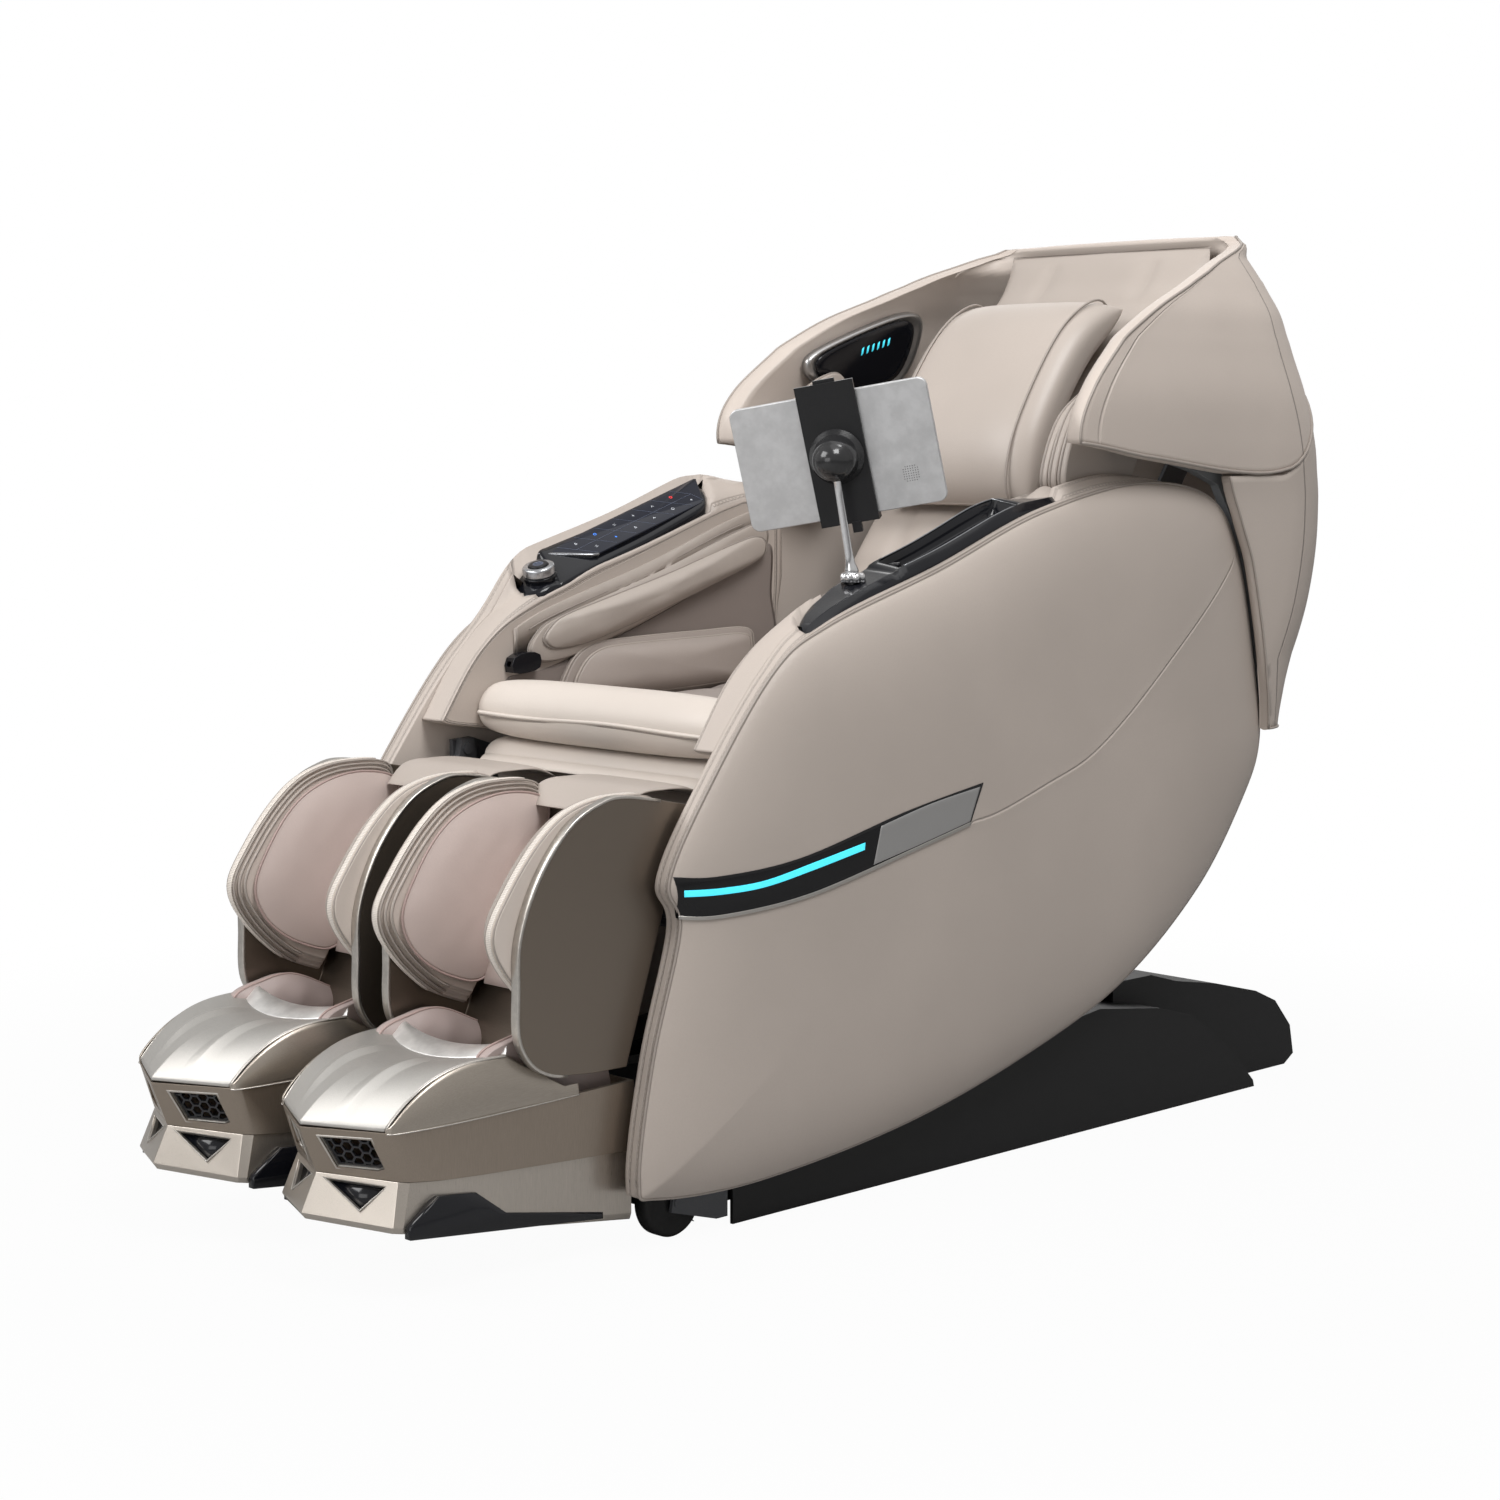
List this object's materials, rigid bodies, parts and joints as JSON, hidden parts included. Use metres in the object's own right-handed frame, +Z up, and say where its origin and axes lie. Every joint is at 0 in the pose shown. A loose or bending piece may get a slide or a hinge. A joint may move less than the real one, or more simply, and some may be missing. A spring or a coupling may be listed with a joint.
{
  "type": "massage chair",
  "caption": "Reclining massage chair with padded side panels, head hood, lifting legrest, car-nosed foot massagers, control arm and tablet holder.",
  "frame": {"origin": "on the floor under the base, on the chair's middle plane", "axes": "+X the sitter's left, -Y the front, +Z up; +Y is the long axis"},
  "size_m": [0.7138, 1.8249, 1.263],
  "materials": {
    "base_black": "fine moulded grain",
    "steel": "black powder coat",
    "rubber": "moulded",
    "black_plastic": "satin moulded",
    "wheel_rubber": "moulded tread",
    "hide": "smooth upholstery leather, fine grain",
    "gloss_black": "piano gloss",
    "led": "lit diffuser",
    "taupe_hide": "smooth upholstery leather",
    "cream_hide": "smooth upholstery leather",
    "panel_glass": "tinted touch glass",
    "satin_chrome": "satin",
    "chrome": "polished",
    "tablet_silver": "bead blasted",
    "grey_plastic": "fine grain",
    "cast_alloy": "cast",
    "roller_plastic": "moulded nylon",
    "champagne": "metallic champagne lacquer",
    "mauve_hide": "smooth upholstery leather",
    "bonnet_silver": "metallic silver lacquer",
    "bright_silver": "bright silver lacquer"
  },
  "bodies": {
    "base": {"base_cover": "base_black", "base_frame": "steel", "base_feet": "rubber", "power_box": "black_plastic"},
    "rocker": {"power_switch": "black_plastic"},
    "wheel_l": {"wheel_left": "wheel_rubber"},
    "wheel_r": {"wheel_right": "wheel_rubber"},
    "carriage": {"carriage_frame": "steel"},
    "seat": {"seat_frame": "steel", "side_panel_left": "hide", "side_panel_right": "hide", "side_trims": "gloss_black", "led_strips": "led", "arm_left": "hide", "arm_right": "hide", "arm_bags": "taupe_hide", "hip_pads": "taupe_hide", "seat_cushion": "taupe_hide", "front_roll": "cream_hide", "seat_flap": "cream_hide", "control_housing": "gloss_black", "touch_panel": "panel_glass", "port_housing": "gloss_black", "phone_tray": "gloss_black"},
    "knob": {"knob_ring": "satin_chrome"},
    "button": {"knob_button": "gloss_black"},
    "post": {"stalk": "chrome"},
    "clamp": {"tablet_clamp": "black_plastic", "tablet": "tablet_silver"},
    "jaw": {"clamp_jaw": "black_plastic"},
    "back": {"back_frame": "steel", "back_shell": "hide", "head_hood": "hide", "speakers": "gloss_black", "side_plates": "grey_plastic", "back_pad": "hide", "head_pillow": "hide", "shoulder_bags": "hide"},
    "massager": {"massage_carriage": "steel"},
    "kneaders": {"knead_arms": "cast_alloy"},
    "upper_rollers": {"rollers_upper": "roller_plastic"},
    "lower_rollers": {"rollers_lower": "roller_plastic"},
    "legrest": {"legrest_frame": "steel", "calf_shells": "champagne", "calf_liners": "hide", "calf_pads": "mauve_hide"},
    "footrest": {"foot_frame": "steel", "foot_tubs": "champagne", "foot_bonnets": "bonnet_silver", "foot_collars": "bright_silver", "foot_grilles": "black_plastic", "foot_lips": "champagne", "foot_pads": "mauve_hide"},
    "toe_rollers": {"sole_roller_front": "roller_plastic"},
    "heel_rollers": {"sole_roller_rear": "roller_plastic"}
  },
  "joints": [
    {"name": "power_rocker", "type": "hinge", "parent": "base", "child": "rocker", "pos_m": [0.032, 0.922, 0.042], "axis": [1, 0, 0], "range_deg": [-4, 4]},
    {"name": "wheel_left_spin", "type": "hinge", "parent": "base", "child": "wheel_l", "pos_m": [0.268, -0.409, 0.045], "axis": [1, 0, 0], "continuous": true},
    {"name": "wheel_right_spin", "type": "hinge", "parent": "base", "child": "wheel_r", "pos_m": [-0.268, -0.409, 0.045], "axis": [1, 0, 0], "continuous": true},
    {"name": "seat_slide", "type": "slide", "parent": "base", "child": "carriage", "axis": [0, -1, 0], "range_m": [0, 0.1]},
    {"name": "seat_tilt", "type": "hinge", "parent": "carriage", "child": "seat", "pos_m": [0, 0.3, 0.25], "axis": [-1, 0, 0], "range_deg": [0, 12]},
    {"name": "knob_turn", "type": "hinge", "parent": "seat", "child": "knob", "pos_m": [-0.28, -0.144, 0.775], "axis": [0.1392, -0.3208, 0.9369], "continuous": true},
    {"name": "button_press", "type": "slide", "parent": "knob", "child": "button", "axis": [-0.1392, 0.3208, -0.9369], "range_m": [0, 0.0015], "stiffness_N_per_m": 400},
    {"name": "post_swivel", "type": "hinge", "parent": "seat", "child": "post", "pos_m": [0.2687, -0.087, 0.8], "axis": [0, 0, 1], "range_deg": [-30, 45]},
    {"name": "tablet_tilt", "type": "hinge", "parent": "post", "child": "clamp", "pos_m": [0.2687, -0.122, 0.941], "axis": [0.824, 0.5402, 0.171], "range_deg": [-10, 10]},
    {"name": "jaw_slide", "type": "slide", "parent": "clamp", "child": "jaw", "axis": [-0.0442, -0.2397, 0.9698], "range_m": [0, 0.006]},
    {"name": "back_recline", "type": "hinge", "parent": "seat", "child": "back", "pos_m": [0, 0.38, 0.47], "axis": [-1, 0, 0], "range_deg": [0, 35]},
    {"name": "massage_travel", "type": "slide", "parent": "back", "child": "massager", "axis": [0, 0.5948, 0.8039], "range_m": [0, 0.36]},
    {"name": "knead", "type": "hinge", "parent": "massager", "child": "kneaders", "pos_m": [0, 0.46977, 0.69765], "axis": [1, 0, 0], "range_deg": [-6, 6]},
    {"name": "upper_roller_spin", "type": "hinge", "parent": "kneaders", "child": "upper_rollers", "pos_m": [0, 0.48697, 0.75956], "axis": [1, 0, 0], "continuous": true},
    {"name": "lower_roller_spin", "type": "hinge", "parent": "kneaders", "child": "lower_rollers", "pos_m": [0, 0.41559, 0.6631], "axis": [1, 0, 0], "continuous": true},
    {"name": "legrest_lift", "type": "hinge", "parent": "seat", "child": "legrest", "pos_m": [0, -0.29, 0.548], "axis": [-1, 0, 0], "range_deg": [0, 70]},
    {"name": "foot_slide", "type": "slide", "parent": "legrest", "child": "footrest", "axis": [0, -0.3162, -0.9487], "range_m": [0, 0.12]},
    {"name": "toe_roller_spin", "type": "hinge", "parent": "footrest", "child": "toe_rollers", "pos_m": [0, -0.69, 0.168], "axis": [1, 0, 0], "continuous": true},
    {"name": "heel_roller_spin", "type": "hinge", "parent": "footrest", "child": "heel_rollers", "pos_m": [0, -0.56, 0.158], "axis": [1, 0, 0], "continuous": true}
  ],
  "couplings": [
    {"joint": "foot_slide", "follows": "legrest_lift", "m_per_rad": 0.098}
  ]
}
